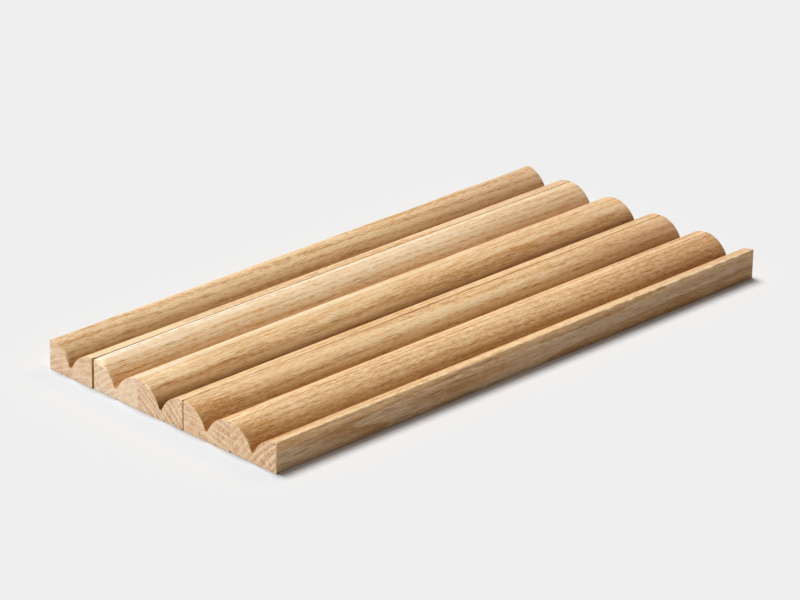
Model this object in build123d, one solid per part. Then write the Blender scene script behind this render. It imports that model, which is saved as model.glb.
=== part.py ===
"""Oak pen tray: five grooved strips joined side by side with hidden dowels.

Millimetres. X runs across the strips, Y along the grooves and Z up.
The origin is on the base, at the middle of the tray.
"""
import os
from math import sqrt

from build123d import *

# One strip: a groove between two half ridges
strip_width = 20.0
strip_length = 212.0
strip_height = 10.0        # base to ridge crest
floor_thickness = 3.2      # wood left under the groove
root_radius = 0.75         # round bottom of the groove

# Arrises, broken by sanding
crest_ease = 0.25          # along the top of each side face
base_ease = 0.3            # along the bottom of each side face
end_ease = 0.25            # round the outline of each end face

# Seams between neighbouring strips, from left to right
open_seam = 0.5            # stands open at the front
fine_seam = 0.25           # a thin dark line
tight_seam = 0.1           # a closed glue line
seam_gaps = (open_seam, tight_seam, fine_seam, tight_seam)

# Blind dowels that line the strips up across each seam
dowel_diameter = 4.0
dowel_chamfer = 0.4
dowels_per_seam = 3
dowel_end_distance = 26.0  # from a strip's end to the nearest dowel
dowel_fit = 0.05           # radial glue room in the hole
hole_end_room = 0.5        # air past each dowel end
groove_cover = 3.5         # from a hole's end to the middle of the groove

strip_names = (
    "left_outer_strip",
    "left_inner_strip",
    "centre_strip",
    "right_inner_strip",
    "right_outer_strip",
)
seam_names = (
    "left_outer_seam_dowels",
    "left_inner_seam_dowels",
    "right_inner_seam_dowels",
    "right_outer_seam_dowels",
)

half_width = strip_width / 2
groove_depth = strip_height - floor_thickness
tray_width = strip_width * len(strip_names) + sum(seam_gaps)

# The flank is an arc level at the crest and tangent to the round root
flank_radius = (groove_depth**2 + half_width**2) / (2 * groove_depth) - root_radius
flank_center_z = strip_height - flank_radius
root_center_z = floor_thickness + root_radius
tangent_share = root_radius / (root_radius + flank_radius)
tangent_x = half_width * tangent_share
tangent_z = root_center_z + (flank_center_z - root_center_z) * tangent_share


def flank_height(x):
    """Height of the flank at a distance x from the middle of the groove."""
    return flank_center_z + sqrt(flank_radius**2 - (half_width - x)**2)


hole_depth = half_width - groove_cover
hole_radius = dowel_diameter / 2 + dowel_fit
dowel_height = flank_height(groove_cover) / 2
dowel_run = strip_length - 2 * dowel_end_distance
dowel_places = [
    -dowel_run / 2 + dowel_run * step / (dowels_per_seam - 1)
    for step in range(dowels_per_seam)
]


def strip_profile():
    """Section of one strip in the XZ plane, with its groove in the middle."""
    mid_x = (half_width + tangent_x) / 2
    with BuildSketch(Plane.XZ) as section:
        with BuildLine():
            Polyline(
                (-half_width, strip_height),
                (-half_width, 0),
                (half_width, 0),
                (half_width, strip_height),
            )
            ThreePointArc(
                (half_width, strip_height),
                (mid_x, flank_height(mid_x)),
                (tangent_x, tangent_z),
            )
            ThreePointArc(
                (tangent_x, tangent_z),
                (0, floor_thickness),
                (-tangent_x, tangent_z),
            )
            ThreePointArc(
                (-tangent_x, tangent_z),
                (-mid_x, flank_height(mid_x)),
                (-half_width, strip_height),
            )
        make_face()
        fillet(section.vertices().group_by(Axis.Y)[0], base_ease)
        fillet(section.vertices().group_by(Axis.Y)[-1], crest_ease)
    return section.sketch


def dowel_bar(radius, length, x, y):
    """A round bar across the tray, centred on x and y at dowel height."""
    bar = Rot(0, 90, 0) * Cylinder(radius, length)
    return Pos(x, y, dowel_height) * bar


def strip(center_x, has_left_seam, has_right_seam):
    """One moulded strip, bored from each side that meets a neighbour."""
    body = extrude(strip_profile(), strip_length / 2, both=True)
    ends = body.faces().sort_by(Axis.Y)
    body = fillet(ends[0].edges() + ends[-1].edges(), end_ease)
    body = Pos(center_x, 0, 0) * body
    for y in dowel_places:
        if has_left_seam:
            body -= dowel_bar(hole_radius, 2 * hole_depth, center_x - half_width, y)
        if has_right_seam:
            body -= dowel_bar(hole_radius, 2 * hole_depth, center_x + half_width, y)
    return body


def seam_dowels(seam_x, gap):
    """The dowels of one seam, each with chamfered ends."""
    length = 2 * (hole_depth - hole_end_room) + gap
    dowels = []
    for y in dowel_places:
        dowel = dowel_bar(dowel_diameter / 2, length, seam_x, y)
        rims = dowel.edges().filter_by(GeomType.CIRCLE)
        dowels.append(chamfer(rims, dowel_chamfer))
    return Compound(children=dowels)


def build():
    """Lay the strips from left to right and put the dowels in their seams."""
    pieces = {}
    left_edge = -tray_width / 2
    last = len(strip_names) - 1
    for index, name in enumerate(strip_names):
        center_x = left_edge + half_width
        pieces[name] = strip(center_x, index > 0, index < last)
        if index < last:
            gap = seam_gaps[index]
            seam_x = left_edge + strip_width + gap / 2
            pieces[seam_names[index]] = seam_dowels(seam_x, gap)
            left_edge += strip_width + gap
    return pieces


os.makedirs("parts", exist_ok=True)
for node, shape in build().items():
    export_step(shape, f"parts/{node}.step")
    print(node, round(shape.volume, 1))
print("flank radius", round(flank_radius, 3), "dowel height", round(dowel_height, 3))
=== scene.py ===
import math
import bmesh
import bpy
from mathutils import Matrix, Vector, noise


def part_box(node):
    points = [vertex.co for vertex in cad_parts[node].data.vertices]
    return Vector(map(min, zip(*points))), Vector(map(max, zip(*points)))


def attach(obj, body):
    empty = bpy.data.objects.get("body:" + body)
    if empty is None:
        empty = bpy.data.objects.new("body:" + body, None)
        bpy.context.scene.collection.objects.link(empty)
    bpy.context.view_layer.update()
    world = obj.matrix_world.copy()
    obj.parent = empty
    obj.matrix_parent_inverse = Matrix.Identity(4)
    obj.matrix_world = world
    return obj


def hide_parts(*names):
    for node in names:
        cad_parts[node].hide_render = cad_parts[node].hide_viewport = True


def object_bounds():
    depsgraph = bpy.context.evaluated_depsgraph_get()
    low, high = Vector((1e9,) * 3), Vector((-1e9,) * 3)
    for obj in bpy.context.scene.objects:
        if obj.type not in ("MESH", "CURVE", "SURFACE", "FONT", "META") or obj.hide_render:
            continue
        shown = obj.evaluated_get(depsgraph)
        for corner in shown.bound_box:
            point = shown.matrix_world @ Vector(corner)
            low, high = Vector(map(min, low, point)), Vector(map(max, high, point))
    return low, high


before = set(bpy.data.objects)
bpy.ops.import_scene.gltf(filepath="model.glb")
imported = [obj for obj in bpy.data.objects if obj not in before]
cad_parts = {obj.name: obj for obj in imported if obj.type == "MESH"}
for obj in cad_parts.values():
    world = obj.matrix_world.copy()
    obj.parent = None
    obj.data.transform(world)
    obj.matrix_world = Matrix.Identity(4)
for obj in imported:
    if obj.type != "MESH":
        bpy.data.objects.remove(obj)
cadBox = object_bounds()
mm = 0.001
tiny = 0.00001  # two places this close are one
print("frame loaded with", len(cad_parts), "nodes")


# Small tools for modelling

def startClean():
    if bpy.context.object and bpy.context.object.mode != "OBJECT":
        bpy.ops.object.mode_set(mode="OBJECT")
    bpy.ops.object.select_all(action="DESELECT")


def choose(piece):
    startClean()
    piece.select_set(True)
    bpy.context.view_layer.objects.active = piece


def pick(piece, kind, wanted):
    bpy.ops.mesh.select_mode(type={"verts": "VERT", "edges": "EDGE", "faces": "FACE"}[kind])
    bpy.ops.mesh.select_all(action="DESELECT")
    mesh = bmesh.from_edit_mesh(piece.data)
    for item in getattr(mesh, kind):
        if wanted(item):
            item.select_set(True)
    mesh.select_flush_mode()
    bmesh.update_edit_mesh(piece.data)


def cutAcross(place, normal):
    bpy.ops.mesh.select_all(action="SELECT")
    bpy.ops.mesh.bisect(plane_co=place, plane_no=normal)


# Small tools for shading

def rgb(red, green, blue):
    def linear(level):
        level /= 255
        return level / 12.92 if level <= 0.04045 else ((level + 0.055) / 1.055) ** 2.4
    return (linear(red), linear(green), linear(blue), 1.0)


def feed(tree, socket, value):
    if isinstance(value, bpy.types.NodeSocket):
        tree.links.new(value, socket)
    else:
        socket.default_value = value


def addNode(tree, kind, inputs=None, **settings):
    node = tree.nodes.new(kind)
    for name, value in settings.items():
        setattr(node, name, value)
    for name, value in (inputs or {}).items():
        feed(tree, node.inputs[name], value)
    return node


def calc(tree, operation, *values):
    return addNode(tree, "ShaderNodeMath", dict(enumerate(values)), operation=operation).outputs[0]


def times(tree, *values):
    result = values[0]
    for value in values[1:]:
        result = calc(tree, "MULTIPLY", result, value)
    return result


def onVector(tree, operation, *values):
    return addNode(tree, "ShaderNodeVectorMath", dict(enumerate(values)), operation=operation).outputs


def split(tree, vector):
    return addNode(tree, "ShaderNodeSeparateXYZ", {0: vector}).outputs


def move(tree, vector, location=(0, 0, 0), rotation=(0, 0, 0), scale=(1, 1, 1)):
    inputs = {"Vector": vector, "Location": location, "Rotation": rotation, "Scale": scale}
    return addNode(tree, "ShaderNodeMapping", inputs).outputs[0]


def cloudNode(tree, place, stretch, detail, roughness):
    stretched = move(tree, place, scale=stretch)
    inputs = {"Vector": stretched, "Scale": 1.0, "Detail": detail, "Roughness": roughness}
    return addNode(tree, "ShaderNodeTexNoise", inputs)


def cloud(tree, place, stretch, detail=2.0, roughness=0.5):
    return cloudNode(tree, place, stretch, detail, roughness).outputs["Fac"]


def drift(tree, place, stretch):
    # a soft push, as often one way as the other
    push = cloudNode(tree, place, stretch, detail=1.0, roughness=0.5).outputs["Color"]
    return onVector(tree, "SUBTRACT", push, (0.5, 0.5, 0.5))[0]


def step(tree, value, start, end):
    inputs = {"Value": value, "From Min": start, "From Max": end}
    return addNode(tree, "ShaderNodeMapRange", inputs, interpolation_type="SMOOTHSTEP").outputs[0]


def startStop(tree, value, start, stop):
    return times(tree, step(tree, value, *start), step(tree, value, *stop))


def flip(tree, share):
    return calc(tree, "SUBTRACT", 1.0, share)


def stretchTo(tree, value, low, high):
    return addNode(tree, "ShaderNodeMapRange", {"Value": value, "To Min": low, "To Max": high}).outputs[0]


def lean(tree, base, value, gain, middle=0.5):
    # adds what a value is above or below its middle
    return calc(tree, "MULTIPLY_ADD", calc(tree, "SUBTRACT", value, middle), gain, base)


def mixColor(tree, amount, first, second, mode="MIX"):
    node = addNode(tree, "ShaderNodeMix", data_type="RGBA", blend_type=mode)
    for index, value in ((0, amount), (6, first), (7, second)):
        feed(tree, node.inputs[index], value)
    return node.outputs[2]


def ramp(tree, value, dark, middle, light):
    node = addNode(tree, "ShaderNodeValToRGB", {"Fac": value})
    stops = node.color_ramp.elements
    stops[0].color = dark
    stops[1].color = light
    stops.new(0.5).color = middle
    return node.outputs["Color"]


def marks(tree, place, stretch, reach, density):
    # one mark in each stretched cell whose luck and the local density add up to about one
    inputs = {"Vector": move(tree, place, scale=stretch), "Scale": 1.0}
    cell = addNode(tree, "ShaderNodeTexVoronoi", inputs).outputs
    luck = addNode(tree, "ShaderNodeSeparateColor", {0: cell["Color"]}).outputs[0]
    chosen = step(tree, calc(tree, "ADD", luck, density), 0.95, 1.1)
    core = 0.4 * reach
    return times(tree, step(tree, cell["Distance"], reach, core), chosen)


def newTree(name):
    material = bpy.data.materials.new(name)
    material.use_nodes = True
    material.node_tree.nodes.clear()
    return material, material.node_tree


woodFinish = {"bump": 0.5, "specular": 0.3}


def woodSurface(tree, color, roughness, relief, depth):
    inputs = {"Height": relief, "Strength": woodFinish["bump"], "Distance": depth}
    bump = addNode(tree, "ShaderNodeBump", inputs).outputs[0]
    inputs = {"Base Color": color, "Roughness": roughness, "Normal": bump}
    inputs["Specular IOR Level"] = woodFinish["specular"]
    surface = addNode(tree, "ShaderNodeBsdfPrincipled", inputs)
    addNode(tree, "ShaderNodeOutputMaterial", {"Surface": surface.outputs[0]})


# Oak: growth rings round a pith line, vessels along it and rays out from it, all in millimetres

asItIs = (1.0, 1.0, 1.0, 1.0)  # a tint that changes nothing
outerSide = (rgb(240, 236, 239), rgb(240, 236, 239))
seamSideShade = (rgb(240, 214, 182), rgb(240, 180, 90))  # painted shade in a seam, darker where it shows at the front
openSeamShade = (rgb(240, 214, 182), rgb(184, 165, 98))  # painted shade in a seam, darkest in the widest seam
# crest tints: wood tone along the crest and at the back; the paler front tints are partly tone, partly
# painted highlight
plainCrest = {"along": asItIs, "front": asItIs, "back": asItIs, "frontRun": (-78.0, -98.0)}
usualShare = 0.3               # of a ring that one season takes up

# where one finish runs into the next on a strip, from the middle of its base
oakZones = {
    "frontEnd": (-82.0, -101.0), "betweenCrests": (9.2, 5.0),
    "seamMouth": (-104.2, -105.6), "seamEdge": (8.8, 9.3),  # a seam that shows at the front
    "back": (30.0, 95.0), "crest": (7.4, 9.4), "flank": (9.4, 7.4),
    "groove": (6.0, 0.8), "root": (2.6, 0.3), "top": (2.0, 3.0), "rightHalf": (-3.0, 3.0),
    "upperSideLight": (5.5, 9.0), "backToFront": (106.0, -106.0),
    "rearSide": (-20.0, 40.0), "aboveFoot": (2.5, 4.5), "belowArris": (9.0, 7.8),
    # how far a face is turned
    "turnedToEnd": (0.35, 0.85), "arrisStart": (0.12, 0.4), "arrisStop": (0.97, 0.8),
    "turnedToSeam": (0.5, 0.8), "turnedToSide": (0.88, 0.98), "turnedRight": (-0.1, 0.1),
}
oakFigure = {
    "wander": (((0.02, 0.006, 0.02), (3.0, 0, 3.0)), ((0.12, 0.03, 0.12), (0.6, 0, 0.6)),
               ((0.5, 0.16, 0.5), (0.22, 0, 0.22))),
    "curl": None,                  # a place where the grain swirls
    "along": 0.0,                  # where along the log the strip was cut
    "pith": (0, -50),              # middle of the log, from the middle of the strip's base
    "tilt": (0.5, 0.7),            # pith line against the strip, degrees
    # rings: width, waver, and where in a ring each kind of wood starts and stops
    "ringWidth": 2.2, "ringWaver": (0.03, 0.004, 0.13), "ringWaverGain": 2.6,
    "earlyWood": ((0.0, 0.08), (0.6, 0.25)), "lateWood": ((0.5, 0.75), (1.0, 0.9)),
    "poreWood": ((0.0, 0.06), (0.42, 0.25)),
    # flanks
    "fibre": (2.4, 0.1, 2.4), "fibreGain": 0.9, "grit": (3.0, 0.4, 3.0), "gritGain": 1.4,
    "streak": (0.6, 0.012, 0.6), "streakGain": 0.5, "patch": (0.1, 0.009, 0.1), "patchGain": 0.45,
    "ringGain": 0.2,
    "dash": (2.3, 0.34, 2.3), "dashReach": 0.5, "dashGain": 0.48,
    "vessel": (1.6, 0.08, 1.6), "vesselReach": 0.4, "vesselGain": 0.5,
    "density": 0.15, "ringDensity": 0.5, "band": (0.35, 0.014, 0.35), "bandDensity": 0.8,
    "frontDensity": 0.3, "frontShade": 0.0,    # denser, darker figure near the front
    "backShade": 0.0,
    # painted shade in the groove, darker still at its root
    "grooveShadeGain": 0.8, "rootShadeGain": 0.5,
    "grooveShadeFrontCut": 0.0,            # how much of the painted groove shade is left off at the front
    "ray": (1.2, 0.16, 0.07), "rayEdge": (0.4, 0.2), "rayGain": 0.12,
    "leftCrest": plainCrest, "rightCrest": plainCrest,
    # sides
    "lens": (0.05, 0.006, 0.09), "lensCount": 6.0, "lensRun": ((0.0, 0.06), (0.7, 0.1)), "lensGain": 0.45,
    "sideFibre": (2.0, 0.06, 2.0), "sideFibreGain": 1.4, "sideGritGain": 1.1,
    "sideDash": (2.6, 0.2, 2.6), "sideDensity": 0.3, "sideBand": (0.3, 0.014, 0.3), "sideBandDensity": 1.2,
    "leftSide": seamSideShade, "rightSide": seamSideShade,
    "upperSideLight": asItIs, "upperLightShare": (0.3, 1.0),    # painted light on the upper side, a share at the back and at the front
    "rearSide": asItIs,
    # ends
    "speck": (3.0, 0.2, 3.0), "speckGain": 2.0, "endPatch": (0.25, 0.02, 0.25), "endPatchGain": 0.5,
    "blush": (0.55, 0.05, 0.55), "blushEdge": (0.4, 0.62),
    "fleck": (3.4, 0.1, 0.6), "fleckEdge": (0.5, 0.66), "fleckLoss": 0.6,    # fewer in late wood
    "pore": (3.2, 0.1, 3.2), "poreReach": 0.46, "poreDensity": 0.4,
    # left and right half of the end
    "endRingGain": (0.15, 0.15), "fleckGain": (0.3, 0.3), "poreGain": (0.25, 0.25),
    # surface
    # the arris colour is paler sanded wood with a painted highlight
    "arrisPaleAndHighlightGain": 0.45, "tornGain": 0.8,
    "fibreRise": 0.3, "vesselDrop": 0.6, "reliefDepth": 0.1 * mm,
    "roughness": (0.62, 0.48),     # in dark and in pale wood
    # colours
    "longDark": rgb(198, 143, 78), "longMid": rgb(237, 198, 147), "longLight": rgb(250, 222, 180),
    "dashColor": rgb(170, 112, 54), "vesselColor": rgb(134, 82, 36),
    # the groove and root colours are painted shade
    "grooveShadeColor": rgb(212, 196, 168), "rootShadeColor": rgb(178, 160, 132), "backColor": rgb(226, 211, 205),
    "endDark": rgb(204, 160, 118), "endMid": rgb(248, 214, 174), "endLight": rgb(255, 234, 200),
    "blushColor": rgb(250, 240, 240), "fleckColor": rgb(172, 112, 66),
    "poreColor": rgb(148, 90, 48), "rayColor": rgb(250, 226, 186),
    "tornColor": rgb(255, 230, 188), "arrisPaleAndHighlightColor": rgb(255, 226, 186),
}
stripFigure = {
    "left_outer_strip": {
        "along": 40.0, "pith": (24, -61), "longMid": rgb(240, 205, 159), "leftSide": outerSide,
        "rightSide": openSeamShade, "frontDensity": 0.2, "backShade": 0.5, "rootShadeGain": 0.35,
        "leftCrest": {**plainCrest, "front": (1.05, 1.17, 1.38, 1.0), "back": (0.83, 0.79, 0.77, 1.0)},
        "rightCrest": {**plainCrest, "front": (1.0, 1.06, 1.17, 1.0), "back": (0.86, 0.8, 0.79, 1.0)},
        "poreGain": (0.12, 0.12), "fleckGain": (0.3, 0.2), "endRingGain": (0.3, 0.2),
    },
    "left_inner_strip": {
        "along": 390.0, "pith": (30, -47),
        "longDark": rgb(216, 160, 92), "longMid": rgb(243, 211, 168), "longLight": rgb(252, 229, 196),
        "leftCrest": {**plainCrest, "along": (1.03, 1.08, 1.14, 1.0), "front": (1.1, 1.24, 1.5, 1.0),
                      "frontRun": (20.0, -80.0)},
        "rightCrest": {**plainCrest, "along": (0.93, 0.9, 0.85, 1.0), "front": (1.06, 1.16, 1.35, 1.0)},
        "fibreGain": 1.1, "streakGain": 0.9, "density": 0.05, "frontDensity": 0.15, "frontShade": 0.15,
        "backShade": 0.45, "grooveShadeGain": 0.4, "rootShadeGain": 0.2, "grooveShadeFrontCut": 0.6,
        "endDark": rgb(222, 182, 140), "endMid": rgb(255, 229, 193),
        "poreGain": (0.1, 0.1), "fleckGain": (0.25, 0.15), "endRingGain": (0.45, 0.15),
    },
    "centre_strip": {
        "along": 750.0, "pith": (-46, -36), "longMid": rgb(233, 193, 142), "ringWidth": 1.8,
        "fibreGain": 1.7, "streakGain": 1.1, "dashGain": 0.4, "vesselGain": 0.65,
        "frontDensity": 0.35, "frontShade": 0.03,
        "leftCrest": {**plainCrest, "along": (0.96, 0.95, 0.93, 1.0), "front": (1.28, 1.42, 1.65, 1.0),
                      "frontRun": (-62.0, -98.0)},
        "backShade": 0.5, "grooveShadeGain": 1.0, "rootShadeGain": 1.0,
        "fleckGain": (0.75, 0.9), "endRingGain": (0.4, 0.5),
    },
    "right_inner_strip": {
        "along": 1100.0, "pith": (-25, -71), "longMid": rgb(236, 196, 144), "endMid": rgb(250, 216, 172),
        "leftCrest": {**plainCrest, "along": (0.92, 0.88, 0.84, 1.0), "front": (0.95, 0.95, 0.95, 1.0)},
        "rightCrest": {**plainCrest, "along": (1.09, 1.15, 1.27, 1.0), "front": (1.28, 1.42, 1.65, 1.0),
                       "back": (0.91, 0.89, 0.85, 1.0)},
        "fibreGain": 1.3, "gritGain": 1.6, "dashGain": 0.55, "streakGain": 0.9,
        "frontDensity": 0.5, "frontShade": 0.35, "backShade": 0.9,
        "grooveShadeGain": 0.95, "rootShadeGain": 0.2, "grooveShadeFrontCut": 0.6,
        "fleckGain": (0.5, 0.65), "endRingGain": (0.2, 0.3),
    },
    "right_outer_strip": {
        "along": 1490.0, "pith": (30, -30), "longMid": rgb(229, 188, 136), "endMid": rgb(244, 206, 162),
        "curl": {"middle": (-5.5, 97.0, 7.0), "lengthShare": 0.6, "reach": (9.0, 1.0),
                 "stretch": (0.2, 0.09, 0.2), "amount": 3.5},
        "fibreGain": 0.6, "gritGain": 1.9, "dashGain": 0.6, "streakGain": 0.35,
        "density": 0.25, "frontDensity": 0.55, "frontShade": 0.38, "backShade": 0.7,
        "grooveShadeGain": 0.95, "rootShadeGain": 0.2, "grooveShadeFrontCut": 0.6,
        "leftCrest": {**plainCrest, "back": (0.84, 0.76, 0.73, 1.0)},
        "rightCrest": {**plainCrest, "front": (1.08, 1.1, 1.24, 1.0), "back": (0.94, 0.945, 1.03, 1.0)},
        # painted light on the upper part of the right side
        "rightSide": outerSide, "upperSideLight": (1.4, 1.4, 1.4, 1.0), "rearSide": (0.86, 0.86, 0.88, 1.0),
        "fleckGain": (0.4, 0.75), "poreGain": (0.4, 1.0), "poreDensity": 0.6, "endRingGain": (0.2, 0.4),
    },
}


def zone(tree, value, name):
    return step(tree, value, *oakZones[name])


def grainPlaces(tree, centerX, figure):
    place = addNode(tree, "ShaderNodeTexCoord").outputs["Object"]
    spot = move(tree, place, location=(-centerX / mm, 0, 0), scale=(1 / mm, 1 / mm, 1 / mm))
    grain = move(tree, spot, location=(0, figure["along"], 0))
    for stretch, amount in figure["wander"]:  # grain that strays from straight
        grain = onVector(tree, "MULTIPLY_ADD", drift(tree, grain, stretch), amount, grain)[0]
    curl = figure["curl"]
    if curl:
        share = curl["lengthShare"]  # the swirl is longer than it is wide
        middle = Vector(curl["middle"]) * Vector((1, share, 1))
        away = onVector(tree, "DISTANCE", onVector(tree, "MULTIPLY", spot, (1, share, 1))[0], middle)["Value"]
        amount = times(tree, step(tree, away, *curl["reach"]), curl["amount"])
        swirl = onVector(tree, "MULTIPLY", drift(tree, spot, curl["stretch"]), amount)[0]
        grain = onVector(tree, "ADD", grain, swirl)[0]
    return split(tree, spot), grain


def pithPlace(tree, grain, figure):
    pithX, pithZ = figure["pith"]
    tiltX, tiltZ = (math.radians(turn) for turn in figure["tilt"])
    heart = move(tree, grain, (-pithX, 0, -pithZ), (tiltX, 0, tiltZ))
    axes = split(tree, heart)
    radius = onVector(tree, "LENGTH", onVector(tree, "MULTIPLY", heart, (1, 0, 1))[0])["Value"]
    arc = times(tree, calc(tree, "ARCTAN2", axes["Z"], axes["X"]), math.hypot(pithX, pithZ))
    polar = addNode(tree, "ShaderNodeCombineXYZ", {"X": arc, "Y": axes["Y"], "Z": radius}).outputs[0]
    return polar, radius


def ringSeasons(tree, polar, radius, figure):
    # rings of uneven width: open early wood, then dense late wood
    uneven = cloud(tree, polar, figure["ringWaver"])
    rings = calc(tree, "DIVIDE", radius, figure["ringWidth"])
    season = calc(tree, "FRACT", calc(tree, "MULTIPLY_ADD", uneven, figure["ringWaverGain"], rings))
    return [startStop(tree, season, *figure[wood]) for wood in ("earlyWood", "lateWood", "poreWood")]


def drawVessels(tree, color, grain, dashes, density, figure):
    # short fibre dashes and longer vessel lines
    dash = marks(tree, grain, dashes, figure["dashReach"], density)
    vessel = marks(tree, grain, figure["vessel"], figure["vesselReach"], density)
    color = mixColor(tree, times(tree, dash, figure["dashGain"]), color, figure["dashColor"])
    color = mixColor(tree, times(tree, vessel, figure["vesselGain"]), color, figure["vesselColor"])
    return color, calc(tree, "MAXIMUM", dash, vessel)


def longGrain(tree, grain, early, nearFront, figure):
    fibre = cloud(tree, grain, figure["fibre"], detail=3.0, roughness=0.6)
    grit = cloud(tree, grain, figure["grit"], roughness=0.6)
    patch = cloud(tree, grain, figure["patch"], detail=1.0)
    tone = lean(tree, 0.5, fibre, figure["fibreGain"])
    tone = lean(tree, tone, grit, figure["gritGain"])
    tone = lean(tree, tone, cloud(tree, grain, figure["streak"]), figure["streakGain"])
    tone = lean(tree, tone, patch, figure["patchGain"])
    tone = lean(tree, tone, early, -figure["ringGain"], usualShare)
    tone = lean(tree, tone, nearFront, -figure["frontShade"], 0.0)
    color = ramp(tree, tone, figure["longDark"], figure["longMid"], figure["longLight"])

    # vessels lie thick in some bands and are rare in others
    band = cloud(tree, grain, figure["band"], detail=1.0)
    density = lean(tree, figure["density"], early, figure["ringDensity"], usualShare)
    density = lean(tree, density, band, figure["bandDensity"])
    density = lean(tree, density, nearFront, figure["frontDensity"], 0.0)
    color, vessels = drawVessels(tree, color, grain, figure["dash"], density, figure)
    relief = lean(tree, times(tree, fibre, figure["fibreRise"]), vessels, -figure["vesselDrop"], 0.0)
    return color, tone, relief


def sideGrain(tree, grain, figure):
    # planed side: an even tone, long lenses where rings are cut lengthwise, and thin vessel lines
    swell = cloud(tree, grain, figure["lens"], detail=1.0)
    season = calc(tree, "FRACT", times(tree, swell, figure["lensCount"]))
    lens = startStop(tree, season, *figure["lensRun"])
    fibre = cloud(tree, grain, figure["sideFibre"], detail=3.0, roughness=0.6)
    patch = cloud(tree, grain, figure["patch"], detail=1.0)
    tone = lean(tree, 0.5, fibre, figure["sideFibreGain"])
    tone = lean(tree, tone, cloud(tree, grain, figure["grit"]), figure["sideGritGain"])
    tone = lean(tree, tone, patch, figure["patchGain"])
    tone = lean(tree, tone, lens, -figure["lensGain"], usualShare)
    color = ramp(tree, tone, figure["longDark"], figure["longMid"], figure["longLight"])
    band = cloud(tree, grain, figure["sideBand"], detail=1.0)
    density = lean(tree, figure["sideDensity"], band, figure["sideBandDensity"])
    return drawVessels(tree, color, grain, figure["sideDash"], density, figure)[0]


def endGrain(tree, grain, polar, half, late, poreRow, figure):
    # soft cells, pale late wood, short radial flecks and rows of pores along the rings
    speck = cloud(tree, grain, figure["speck"], detail=3.0, roughness=0.65)
    tone = lean(tree, 0.5, speck, figure["speckGain"])
    tone = lean(tree, tone, cloud(tree, grain, figure["endPatch"]), figure["endPatchGain"])
    tone = lean(tree, tone, late, stretchTo(tree, half, *figure["endRingGain"]), usualShare)
    color = ramp(tree, tone, figure["endDark"], figure["endMid"], figure["endLight"])
    blush = step(tree, cloud(tree, grain, figure["blush"]), *figure["blushEdge"])
    color = mixColor(tree, blush, color, figure["blushColor"], "MULTIPLY")
    fleck = cloud(tree, polar, figure["fleck"], detail=3.0, roughness=0.65)
    spared = lean(tree, 1.0, late, -figure["fleckLoss"], 0.0)
    fleck = times(tree, step(tree, fleck, *figure["fleckEdge"]), spared)
    fleck = times(tree, fleck, stretchTo(tree, half, *figure["fleckGain"]))
    color = mixColor(tree, fleck, color, figure["fleckColor"])
    pore = marks(tree, grain, figure["pore"], figure["poreReach"], figure["poreDensity"])
    pore = times(tree, pore, poreRow, stretchTo(tree, half, *figure["poreGain"]))
    return mixColor(tree, pore, color, figure["poreColor"])


# crest tints: wood tone, and paler fronts that are partly painted highlight
def tintCrests(tree, color, spot, atBack, figure):
    for side, tints in ((-1, figure["leftCrest"]), (1, figure["rightCrest"])):
        onCrest = zone(tree, times(tree, spot["X"], side), "crest")
        atFront = step(tree, spot["Y"], *tints["frontRun"])
        color = mixColor(tree, onCrest, color, tints["along"], "MULTIPLY")
        color = mixColor(tree, times(tree, onCrest, atFront), color, tints["front"], "MULTIPLY")
        color = mixColor(tree, times(tree, onCrest, atBack), color, tints["back"], "MULTIPLY")
    return color


# a seam's side gets painted shade, darkest at its mouth at the front
def tintSides(tree, color, spot, facing, atMouth, figure):
    leftTint = mixColor(tree, atMouth, *figure["leftSide"])
    rightTint = mixColor(tree, atMouth, *figure["rightSide"])
    tint = mixColor(tree, zone(tree, facing["X"], "turnedRight"), leftTint, rightTint)
    color = mixColor(tree, 1.0, color, tint, "MULTIPLY")
    # painted light: the upper part of a side lighter, more towards the front
    share = stretchTo(tree, zone(tree, spot["Y"], "backToFront"), *figure["upperLightShare"])
    upperLight = times(tree, zone(tree, spot["Z"], "upperSideLight"), share)
    color = mixColor(tree, upperLight, color, figure["upperSideLight"], "MULTIPLY")
    middle = times(tree, zone(tree, spot["Z"], "aboveFoot"), zone(tree, spot["Z"], "belowArris"))
    rear = times(tree, zone(tree, spot["Y"], "rearSide"), middle)
    return mixColor(tree, rear, color, figure["rearSide"], "MULTIPLY")


def drawRays(tree, color, polar, figure):
    # thin radial sheets that show as pale flecks
    inputs = {"Vector": move(tree, polar, scale=figure["ray"]), "Scale": 1.0}
    sheet = addNode(tree, "ShaderNodeTexVoronoi", inputs).outputs["Distance"]
    ray = step(tree, sheet, *figure["rayEdge"])
    return mixColor(tree, times(tree, ray, figure["rayGain"]), color, figure["rayColor"])


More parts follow.
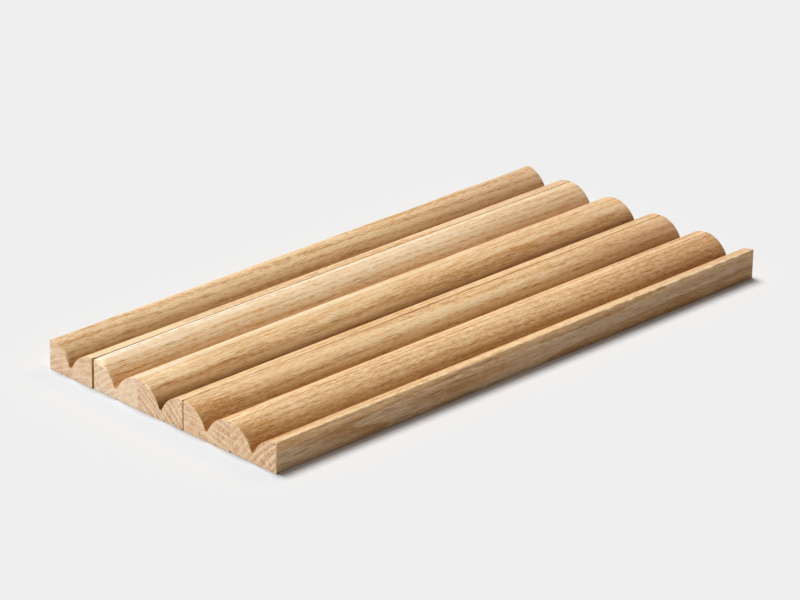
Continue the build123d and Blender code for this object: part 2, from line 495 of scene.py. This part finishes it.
def oakMaterial(name, centerX, figure):
    material, tree = newTree(name)
    spot, grain = grainPlaces(tree, centerX, figure)
    polar, radius = pithPlace(tree, grain, figure)
    early, late, poreRow = ringSeasons(tree, polar, radius, figure)
    offset = calc(tree, "ABSOLUTE", spot["X"])
    nearFront = times(tree, zone(tree, spot["Y"], "frontEnd"), zone(tree, offset, "betweenCrests"))
    atMouth = zone(tree, spot["Y"], "seamMouth")
    atBack = zone(tree, spot["Y"], "back")

    # which way the cut faces, and the painted shade in the groove
    facing = split(tree, addNode(tree, "ShaderNodeNewGeometry").outputs["Normal"])
    lengthways = calc(tree, "ABSOLUTE", facing["Y"])
    sideways = calc(tree, "ABSOLUTE", facing["X"])
    isEnd = zone(tree, lengthways, "turnedToEnd")
    inSeam = times(tree, zone(tree, sideways, "turnedToSeam"), zone(tree, offset, "seamEdge"), atMouth)
    isSide = calc(tree, "MAXIMUM", zone(tree, sideways, "turnedToSide"), inSeam)
    # arrises: paler sanded wood and a painted highlight
    arrisPaleAndHighlight = times(tree, zone(tree, lengthways, "arrisStart"), zone(tree, lengthways, "arrisStop"))
    arrisPaleAndHighlight = times(tree, arrisPaleAndHighlight, figure["arrisPaleAndHighlightGain"], flip(tree, inSeam))
    onTop = times(tree, zone(tree, spot["Z"], "top"), flip(tree, isEnd))
    shaded = times(tree, onTop, lean(tree, 1.0, nearFront, -figure["grooveShadeFrontCut"], 0.0))
    grooveShade = times(tree, zone(tree, offset, "groove"), shaded, figure["grooveShadeGain"])
    rootShade = times(tree, zone(tree, offset, "root"), shaded, figure["rootShadeGain"])
    backFlank = times(tree, atBack, zone(tree, offset, "flank"), figure["backShade"])

    color, tone, relief = longGrain(tree, grain, early, nearFront, figure)
    color = tintCrests(tree, color, spot, atBack, figure)
    color = mixColor(tree, backFlank, color, figure["backColor"], "MULTIPLY")
    endColor = endGrain(tree, grain, polar, zone(tree, spot["X"], "rightHalf"), late, poreRow, figure)
    color = drawRays(tree, mixColor(tree, isEnd, color, endColor), polar, figure)
    # painted shade in the groove, darker at the root
    color = mixColor(tree, grooveShade, color, figure["grooveShadeColor"], "MULTIPLY")
    color = mixColor(tree, rootShade, color, figure["rootShadeColor"], "MULTIPLY")
    sideColor = tintSides(tree, sideGrain(tree, grain, figure), spot, facing, atMouth, figure)
    color = mixColor(tree, isSide, color, sideColor)
    color = mixColor(tree, arrisPaleAndHighlight, color, figure["arrisPaleAndHighlightColor"])
    torn = addNode(tree, "ShaderNodeAttribute", attribute_name="torn").outputs["Fac"]
    color = mixColor(tree, times(tree, torn, figure["tornGain"]), color, figure["tornColor"])
    woodSurface(tree, color, stretchTo(tree, tone, *figure["roughness"]), relief, figure["reliefDepth"])
    return material


# Strips: one moulded blank, then a copy of it for each place in the tray

stripBlank = {
    "underGroove": 3.2 * mm,      # wood left below the groove
    "rootRadius": 0.75 * mm,      # round bottom of the groove
    "flankSteps": 18,
    "rootSteps": 8,
    "arris": 0.12 * mm,           # along the crests
    "arrisSteps": 3,
    "baseArris": 0.7,             # the other arrises, as shares of it
    "endArris": 0.8,
    "cornerArris": 0.4,
    "arrisAngle": 50,             # faces that meet more bluntly keep their edge
    "smoothAngle": 38,
    "uprightLean": 0.3,           # most that an upright face looks up or down
    "lengthCuts": 150,
    "sideCuts": (0.6, 1.0, 1.6, 2.4, 9.2, 9.5),     # mm below the crest, on the upright faces
    "endCuts": (0.35, 0.6, 0.9, 1.2, 1.6, 2.1),     # mm from each end
    "holeRoom": 0.05 * mm,        # glue room round a dowel
    "holeEndRoom": 0.5 * mm,
    "holeSides": 40,
}
stripLow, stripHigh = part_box("centre_strip")
stripHalf = (stripHigh.x - stripLow.x) / 2
stripEnd = stripHigh.y
stripTop = stripHigh.z
rootRadius = stripBlank["rootRadius"]
grooveDepth = stripTop - stripBlank["underGroove"]
flankRadius = (grooveDepth ** 2 + stripHalf ** 2) / (2 * grooveDepth) - rootRadius
rootEdge = stripHalf * rootRadius / (rootRadius + flankRadius)  # where the flank runs into the root


def grooveHeight(offset):
    if offset > rootEdge:
        return stripTop - flankRadius + math.sqrt(flankRadius ** 2 - (stripHalf - offset) ** 2)
    return stripBlank["underGroove"] + rootRadius - math.sqrt(rootRadius ** 2 - offset ** 2)


def grooveLines():
    # even steps round the root and up the flank
    rootSteps, flankSteps = stripBlank["rootSteps"], stripBlank["flankSteps"]
    rootSweep = math.asin(rootEdge / rootRadius)
    flankSweep = math.asin((stripHalf - rootEdge) / flankRadius)
    offsets = [rootRadius * math.sin(rootSweep * count / rootSteps) for count in range(rootSteps + 1)]
    for count in range(1, flankSteps):
        offsets.append(stripHalf - flankRadius * math.sin(flankSweep * count / flankSteps))
    return sorted({round(side * offset, 7) for offset in offsets for side in (-1, 1)})


def arrisShare(edge):
    first, second = (vert.co for vert in edge.verts)
    if edge.calc_face_angle(0) < math.radians(stripBlank["arrisAngle"]):
        return 0.0
    if abs(first.y - second.y) > tiny:
        return 1.0 if first.z > stripTop / 2 else stripBlank["baseArris"]
    if abs(first.z - second.z) > stripTop / 2:
        return stripBlank["cornerArris"]
    return stripBlank["endArris"]


def breakArrises(blank):
    mesh = bmesh.from_edit_mesh(blank.data)
    share = mesh.edges.layers.float.new("bevel_weight_edge")
    for edge in mesh.edges:
        edge[share] = arrisShare(edge)
    bmesh.update_edit_mesh(blank.data)
    bpy.ops.object.mode_set(mode="OBJECT")
    bevel = blank.modifiers.new("arris", "BEVEL")
    bevel.limit_method = "WEIGHT"
    bevel.width = stripBlank["arris"]
    bevel.segments = stripBlank["arrisSteps"]
    bpy.ops.object.modifier_apply(modifier="arris")
    bpy.ops.object.mode_set(mode="EDIT")


def modelBlank():
    height = stripTop
    size = (2 * stripHalf, 2 * stripEnd, height)
    startClean()
    bpy.ops.mesh.primitive_cube_add(size=1, location=(0, 0, height / 2), scale=size)
    blank = bpy.context.object
    blank.name = "strip_blank"
    bpy.ops.object.transform_apply(location=True, rotation=False, scale=True)
    bpy.ops.object.mode_set(mode="EDIT")
    lines = grooveLines()
    for x in lines:
        cutAcross((x, 0, 0), (1, 0, 0))
    for x in lines:
        pick(blank, "verts", lambda vert: abs(vert.co.x - x) < tiny and vert.co.z > height - tiny)
        bpy.ops.transform.translate(value=(0, 0, grooveHeight(abs(x)) - height))
    breakArrises(blank)
    pick(blank, "edges", lambda edge: edge.calc_length() > stripEnd)
    bpy.ops.mesh.subdivide(number_cuts=stripBlank["lengthCuts"])
    for drop in stripBlank["sideCuts"]:
        pick(blank, "faces", lambda face: abs(face.normal.z) < stripBlank["uprightLean"])
        bpy.ops.mesh.bisect(plane_co=(0, 0, height - drop * mm), plane_no=(0, 0, 1))
    for distance in stripBlank["endCuts"]:
        for side in (-1, 1):
            cutAcross((0, side * (stripEnd - distance * mm), 0), (0, 1, 0))
    bpy.ops.object.mode_set(mode="OBJECT")
    return blank


def boreHoles(strip, seamNodes):
    for seamNode in seamNodes:
        low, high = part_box(seamNode)
        radius = (high.z - low.z) / 2
        middle = (low + high) / 2
        for y in (low.y + radius, middle.y, high.y - radius):
            startClean()
            bpy.ops.mesh.primitive_cylinder_add(
                vertices=stripBlank["holeSides"], radius=radius + stripBlank["holeRoom"],
                depth=high.x - low.x + 2 * stripBlank["holeEndRoom"],
                location=(middle.x, y, middle.z), rotation=(0, math.pi / 2, 0))
            drill = bpy.context.object
            bpy.context.view_layer.objects.active = strip
            hole = strip.modifiers.new("hole", "BOOLEAN")
            hole.operation = "DIFFERENCE"
            hole.solver = "EXACT"
            hole.object = drill
            bpy.ops.object.modifier_apply(modifier="hole")
            bpy.data.objects.remove(drill, do_unlink=True)


def fade(distance, reach):
    share = min(1.0, max(0.0, distance / reach))
    return (1 - share) ** 2 * (1 + 2 * share)


def between(points, place):
    for (start, low), (end, high) in zip(points, points[1:]):
        if place <= end:
            return high + (low - high) * fade(place - start, end - start)
    return points[-1][1]


wearHabit = {                      # how the wood gives way, in mm and in shares
    "offReach": 1.2,               # how deep a groove's shift to one side goes
    "rubIn": 0.4, "rubEven": 0.75, "rubUneven": 0.5, "rubWave": 0.05,
    "chipIn": 0.7, "chipReach": 1.0, "chipPale": 9.0,
    "tearEven": 0.85, "tearUneven": 0.9, "tearWave": (1.3, 0.5), "tearReach": 3.0,
    "tearPale": 1.4, "tearPalest": 0.7, "tearPaleReach": 0.8,
    "bowSkin": 0.6,                # a bow moves only the skin of a side
    "splinterLift": (0, 0.7, 0.8), "splinterReach": 1.6,
}


def wearStrip(strip, centerX, wear):
    # all in mm: across the strip from its middle, along it, up, and below the moulded face
    habit = wearHabit
    torn = strip.data.attributes.new("torn", "FLOAT", "POINT")
    half, end, top = stripHalf / mm, stripEnd / mm, stripTop / mm
    tearAcross, tearAlong = habit["tearWave"]
    for vert in strip.data.vertices:
        across, along, up = (vert.co.x - centerX) / mm, vert.co.y / mm, vert.co.z / mm
        below = grooveHeight(min(abs(across), half) * mm) / mm - up
        off = wear.get("grooveOff", 0.0) * (1 - abs(across) / half) * fade(below, habit["offReach"])
        shift = Vector((off, 0, 0))
        bare = 0.0
        for side, front, back, reach in wear.get("rubbed", ()):  # arris rubbed down along the strip
            gap = math.hypot(side * half - across, top - up)
            amount = front + (back - front) * (along / end + 1) / 2
            wave = noise.noise(Vector((along * habit["rubWave"], side, wear["seed"])))
            rub = amount * (habit["rubEven"] + habit["rubUneven"] * wave)
            shift += Vector((-habit["rubIn"] * side, 0, -1)) * rub * fade(gap, reach)
        for side, place, length, depth in wear.get("chips", ()):  # flakes broken out of an arris
            gap = math.hypot(side * half - across, top - up)
            bite = depth * fade(abs(along - place), length) * fade(gap, habit["chipReach"])
            shift += Vector((-habit["chipIn"] * side, 0, -1)) * bite
            bare = max(bare, min(1.0, habit["chipPale"] * bite))
        for place, width, depth, reach in wear.get("tears", ()):  # fibres torn out at the front end
            back = along + end
            wave = noise.noise(Vector((across * tearAcross, wear["seed"], back * tearAlong)))
            ragged = max(0.0, habit["tearEven"] + habit["tearUneven"] * wave)
            rip = depth * ragged * fade(abs(across - place), width) * fade(back, reach)
            shift.z -= rip * fade(below, habit["tearReach"])
            pale = habit["tearPale"] * rip * fade(below, habit["tearPaleReach"])
            bare = max(bare, min(habit["tearPalest"], pale))
        for side, points in wear.get("bows", ()):  # a side nearer to its neighbour in places
            if side * across > half - habit["bowSkin"]:
                shift.x += between(points, along)
        if "footChip" in wear:  # splinter missing at a foot of the front face
            side, size = wear["footChip"]
            gap = math.dist((across, along, up), (side * half, -end, 0))
            shift += Vector(habit["splinterLift"]) * size * fade(gap, habit["splinterReach"] * size)
        vert.co += shift * mm
        torn.data[vert.index].value = bare


stripPlan = {
    "left_outer_oak": {
        "node": "left_outer_strip",
        "seams": ("left_outer_seam_dowels",),
        "wear": {
            "seed": 1.0, "grooveOff": -0.3, "rubbed": ((-1, 0.35, 0.35, 1.2),),
            "tears": ((-3.6, 3.4, 0.5, 1.2),),
            "bows": ((1, ((-106, -0.45), (-105.2, -0.1), (-104, 0.0), (106, 0.0))),),
        },
    },
    "left_inner_oak": {
        "node": "left_inner_strip",
        "seams": ("left_outer_seam_dowels", "left_inner_seam_dowels"),
        "wear": {
            "seed": 2.0, "rubbed": ((-1, 0.12, 0.1, 0.8),),
            "tears": ((-7.6, 2.6, 1.1, 2.2), (-4.6, 2.0, 0.35, 1.0)),
            "bows": (
                (-1, ((-106, 0.0), (-105.2, 0.0), (-104, -0.14), (-98, -0.27), (-60, -0.4), (-20, -0.45),
                      (60, -0.44), (106, -0.38))),
                (1, ((-106, 0.09), (-90, 0.05), (106, 0.03))),
            ),
        },
    },
    "centre_oak": {
        "node": "centre_strip",
        "seams": ("left_inner_seam_dowels", "right_inner_seam_dowels"),
        "wear": {
            "seed": 3.0, "rubbed": ((1, 0.1, 0.1, 0.7),), "tears": ((-6.2, 2.2, 0.3, 0.9),),
            "bows": ((1, ((-106, -0.15), (-104.8, 0.06), (-98, 0.15), (-88, 0.22), (-70, 0.21), (-45, 0.12),
                          (-25, 0.02), (106, 0.0))),),
        },
    },
    "right_inner_oak": {
        "node": "right_inner_strip",
        "seams": ("right_inner_seam_dowels", "right_outer_seam_dowels"),
        "wear": {
            "seed": 4.0, "rubbed": ((-1, 0.1, 0.1, 0.7),),
            "bows": ((1, ((-106, 0.09), (-95, 0.03), (-80, -0.03), (106, -0.02))),),
        },
    },
    "right_outer_oak": {
        "node": "right_outer_strip",
        "seams": ("right_outer_seam_dowels",),
        "wear": {
            "seed": 5.0, "grooveOff": -0.15, "rubbed": ((1, 0.18, 0.0, 0.8),),
            "tears": ((-2.4, 2.0, 0.35, 0.9),), "footChip": (-1, 0.55),
            "chips": ((1, 0.5, 1.6, 0.1), (1, 37, 2.2, 0.14), (1, 47, 2.2, 0.22), (1, 57, 1.6, 0.22),
                      (1, 65, 1.8, 0.25), (1, 69, 1.6, 0.3), (1, 76, 1.8, 0.22), (1, 79.5, 1.6, 0.2),
                      (1, 84.5, 2.4, 0.32), (1, 91, 1.8, 0.16), (1, 98, 2.0, 0.25)),
        },
    },
}
blank = modelBlank()
print("strip blank:", len(blank.data.polygons), "faces")
for pieceName, plan in stripPlan.items():
    choose(blank)
    bpy.ops.object.duplicate()
    strip = bpy.context.object
    strip.name = pieceName
    low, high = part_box(plan["node"])
    centerX = (low.x + high.x) / 2
    bpy.ops.transform.translate(value=(centerX, 0, 0))
    bpy.ops.object.transform_apply(location=True, rotation=False, scale=False)
    boreHoles(strip, plan["seams"])
    wearStrip(strip, centerX, plan["wear"])
    choose(strip)
    bpy.ops.object.shade_smooth_by_angle(angle=math.radians(stripBlank["smoothAngle"]))
    figure = {**oakFigure, **stripFigure[plan["node"]]}
    strip.data.materials.append(oakMaterial("oak_" + plan["node"], centerX, figure))
    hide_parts(plan["node"])
    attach(strip, "root")
bpy.data.objects.remove(blank, do_unlink=True)
print("strips done")


# Dowels: the beech pins of each seam keep their own shape and get their finish here

dowelFigure = {
    "dark": rgb(190, 142, 100), "middle": rgb(226, 188, 146), "light": rgb(240, 210, 172),
    "fibre": (0.12, 2.6, 2.6), "fibreGain": 0.9, "patch": (0.05, 0.3, 0.3), "patchGain": 0.6,
    "fleck": (0.35, 2.4, 2.4), "fleckReach": 0.45, "fleckDensity": 0.5, "fleckGain": 0.6,
    "fleckColor": rgb(164, 112, 72),
    "fibreRise": 0.5, "fleckDrop": 0.4, "reliefDepth": 0.05 * mm,
    "roughness": (0.72, 0.58),     # in dark and in pale wood
}


def beechMaterial(name, figure):
    material, tree = newTree(name)
    place = addNode(tree, "ShaderNodeTexCoord").outputs["Object"]
    grain = move(tree, place, scale=(1 / mm, 1 / mm, 1 / mm))
    fibre = cloud(tree, grain, figure["fibre"], detail=3.0, roughness=0.6)
    tone = lean(tree, 0.5, fibre, figure["fibreGain"])
    tone = lean(tree, tone, cloud(tree, grain, figure["patch"]), figure["patchGain"])
    color = ramp(tree, tone, figure["dark"], figure["middle"], figure["light"])
    fleck = marks(tree, grain, figure["fleck"], figure["fleckReach"], figure["fleckDensity"])
    color = mixColor(tree, times(tree, fleck, figure["fleckGain"]), color, figure["fleckColor"])
    relief = lean(tree, times(tree, fibre, figure["fibreRise"]), fleck, -figure["fleckDrop"], 0.0)
    woodSurface(tree, color, stretchTo(tree, tone, *figure["roughness"]), relief, figure["reliefDepth"])
    return material


beech = beechMaterial("dowel_beech", dowelFigure)
for nodeName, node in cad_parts.items():
    if nodeName.endswith("_dowels"):
        node.material_slots[0].material = beech
print("dowels done")


# Studio: plain floor with painted shade in front of the tray, soft light from the left, low light from the
# front, camera of the photograph

studio = {
    "floorSize": 6.0,
    "floorDrop": 0.02 * mm,       # keeps the floor clear of the base
    "floorColor": rgb(233, 233, 233),
    "floorGlowShade": (0.83, 0.885, 0.945, 1.0),  # painted shade that holds back the glow of the lit ends on the floor
    "glowReach": 14.0 * mm,
    "glowUnder": 0.1, "glowPast": 0.5, "glowInside": 0.3,    # shares of it under, past and inside the tray
    "backdrop": rgb(239, 239, 239),
    "fill": 0.06,
    "suns": (
        {"name": "leftSun", "from": (-0.37, 0.0, 1.0), "strength": 3.16, "spread": 27, "shadow": True},
        {"name": "frontSun", "from": (-0.055, -1.0, 0.15), "strength": 1.05, "spread": 0, "shadow": False},
    ),
}
photoCamera = {
    "place": (0.81035, -0.82353, 0.51094),
    "aim": (-0.01471, 0.00963, 0.0),
    "roll": 0.94,
    "lens": 180.23,
    "sensor": 36.0,
    "farthest": 20.0,
}


def floorMaterial(name):
    material, tree = newTree(name)
    spot = split(tree, addNode(tree, "ShaderNodeTexCoord").outputs["Object"])
    reach = studio["glowReach"]
    front = -stripEnd
    side = cadBox[1][0]
    # painted shade on the floor in front of the tray
    ahead = startStop(tree, spot["Y"], (front - reach, front), (front + studio["glowUnder"] * reach, front))
    outer, inner = side + studio["glowPast"] * reach, side - studio["glowInside"] * reach
    beside = step(tree, calc(tree, "ABSOLUTE", spot["X"]), outer, inner)
    color = mixColor(tree, times(tree, ahead, beside), studio["floorColor"], studio["floorGlowShade"], "MULTIPLY")
    inputs = {"Base Color": color, "Roughness": 1.0, "Specular IOR Level": 0.0}
    surface = addNode(tree, "ShaderNodeBsdfPrincipled", inputs)
    addNode(tree, "ShaderNodeOutputMaterial", {"Surface": surface.outputs[0]})
    return material


startClean()
bpy.ops.mesh.primitive_plane_add(size=studio["floorSize"], location=(0, 0, -studio["floorDrop"]))
floor = bpy.context.object
floor.name = "studio_floor"
floor.data.materials.append(floorMaterial("floor_paint"))

for sun in studio["suns"]:
    bpy.ops.object.light_add(type="SUN")
    lamp = bpy.context.object
    lamp.name = sun["name"]
    lamp.rotation_euler = Vector(sun["from"]).to_track_quat("Z", "Y").to_euler()
    lamp.data.energy = sun["strength"]
    lamp.data.angle = math.radians(sun["spread"])
    lamp.data.use_shadow = sun["shadow"]

world = bpy.data.worlds.new("studio_air")
bpy.context.scene.world = world
world.use_nodes = True
air = world.node_tree
air.nodes.clear()
path = addNode(air, "ShaderNodeLightPath").outputs
mirrored = calc(air, "MAXIMUM", path["Is Glossy Ray"], path["Is Transmission Ray"])
seen = calc(air, "MAXIMUM", path["Is Camera Ray"], mirrored)
fillLight = addNode(air, "ShaderNodeBackground", {"Color": (1, 1, 1, 1), "Strength": studio["fill"]})
backdrop = addNode(air, "ShaderNodeBackground", {"Color": studio["backdrop"], "Strength": 1.0})
blend = addNode(air, "ShaderNodeMixShader", {0: seen, 1: fillLight.outputs[0], 2: backdrop.outputs[0]})
addNode(air, "ShaderNodeOutputWorld", {"Surface": blend.outputs[0]})

bpy.ops.object.camera_add(location=photoCamera["place"])
camera = bpy.context.object
camera.name = "photo_camera"
looking = Vector(photoCamera["aim"]) - Vector(photoCamera["place"])
roll = Matrix.Rotation(math.radians(photoCamera["roll"]), 3, "Z")
camera.rotation_euler = (looking.to_track_quat("-Z", "Y").to_matrix() @ roll).to_euler()
camera.data.lens = photoCamera["lens"]
camera.data.sensor_width = photoCamera["sensor"]
camera.data.clip_end = photoCamera["farthest"]
bpy.context.scene.camera = camera
bpy.context.scene.view_settings.view_transform = "Standard"
print("studio done")
